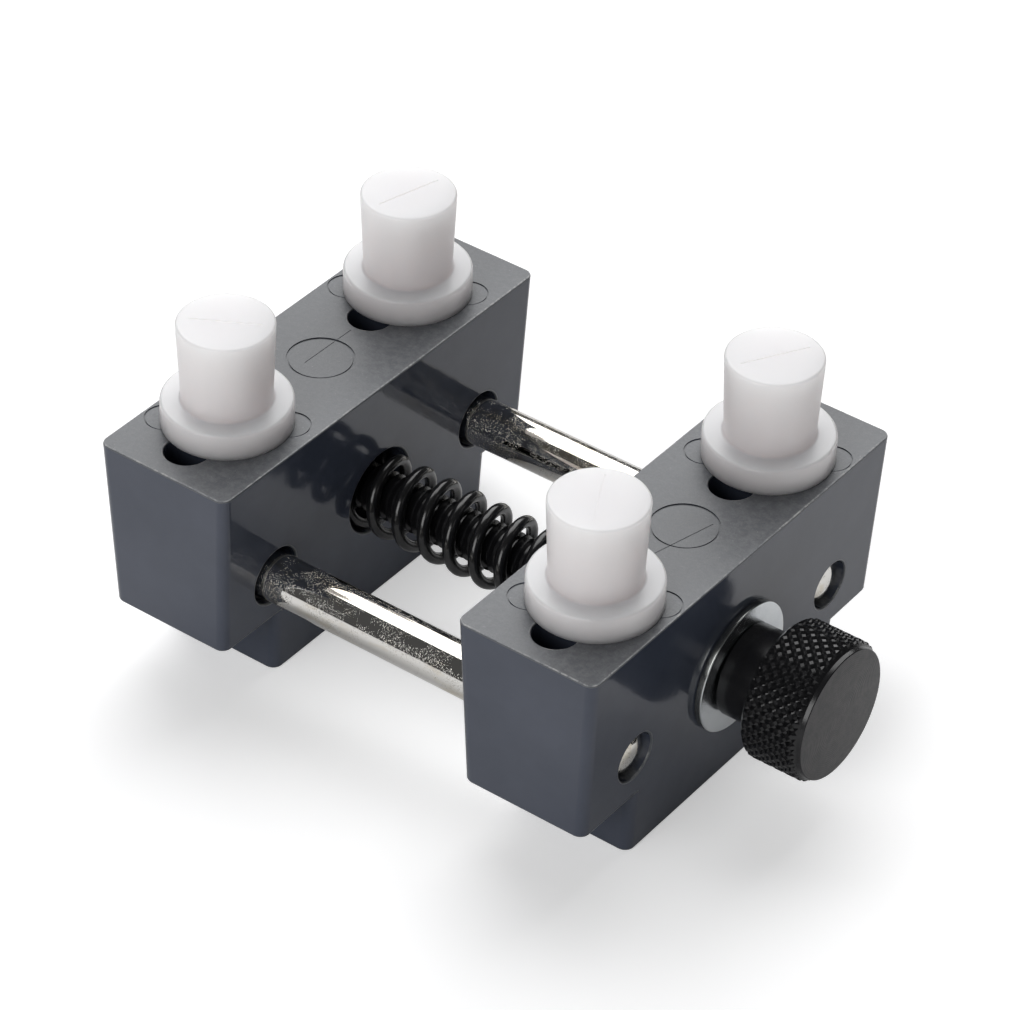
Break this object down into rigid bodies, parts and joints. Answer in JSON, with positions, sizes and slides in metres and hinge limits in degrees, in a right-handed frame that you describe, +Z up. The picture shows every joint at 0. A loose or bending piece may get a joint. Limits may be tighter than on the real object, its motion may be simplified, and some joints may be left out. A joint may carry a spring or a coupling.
{
  "type": "watch movement holder",
  "caption": "Small bench vise for a watch movement: two moulded jaws on guide rods, drawn together by a knurled thumb screw, with push-in pegs that grip the work.",
  "frame": {"origin": "on the bench, under the middle of the whole holder's box with its jaws fully open", "axes": "+X along the guide rods towards the thumb screw, +Y along the jaws, +Z up"},
  "size_m": [0.0716, 0.05, 0.0392],
  "materials": {
    "jaw_plastic": "satin moulded grey plastic with scuffed top faces",
    "peg_nylon": "translucent milky white nylon",
    "rod_steel": "polished plated steel with fine pitting",
    "screw_black": "black oxide, satin, knurled",
    "spring_black": "glossy black",
    "zinc_plate": "bluish zinc plate"
  },
  "bodies": {
    "front_jaw": {"front_jaw": "jaw_plastic", "near_guide_rod": "rod_steel", "far_guide_rod": "rod_steel", "screw_washer": "zinc_plate", "jaw_spring": "spring_black"},
    "rear_jaw": {"rear_jaw": "jaw_plastic", "hex_nut": "zinc_plate"},
    "thumb_screw": {"thumb_screw": "screw_black"},
    "rear_near_peg": {"rear_near_peg": "peg_nylon"},
    "rear_far_peg": {"rear_far_peg": "peg_nylon"},
    "front_near_peg": {"front_near_peg": "peg_nylon"},
    "front_far_peg": {"front_far_peg": "peg_nylon"}
  },
  "joints": [
    {"name": "thumb_screw_turn", "type": "hinge", "parent": "front_jaw", "child": "thumb_screw", "pos_m": [0.03, 0, 0.0136], "axis": [-1, 0, 0], "range_deg": [0, 9900]},
    {"name": "rear_jaw_slide", "type": "slide", "parent": "front_jaw", "child": "rear_jaw", "axis": [1, 0, 0], "range_m": [0, 0.022], "deforming": ["jaw_spring"]},
    {"name": "rear_near_peg_lift", "type": "slide", "parent": "rear_jaw", "child": "rear_near_peg", "axis": [0, 0, 1], "range_m": [0, 0.01]},
    {"name": "rear_far_peg_lift", "type": "slide", "parent": "rear_jaw", "child": "rear_far_peg", "axis": [0, 0, 1], "range_m": [0, 0.01]},
    {"name": "front_near_peg_lift", "type": "slide", "parent": "front_jaw", "child": "front_near_peg", "axis": [0, 0, 1], "range_m": [0, 0.01]},
    {"name": "front_far_peg_lift", "type": "slide", "parent": "front_jaw", "child": "front_far_peg", "axis": [0, 0, 1], "range_m": [0, 0.01]}
  ],
  "couplings": [
    {"joint": "thumb_screw_turn", "follows": "rear_jaw_slide", "rad_per_m": 7854}
  ]
}
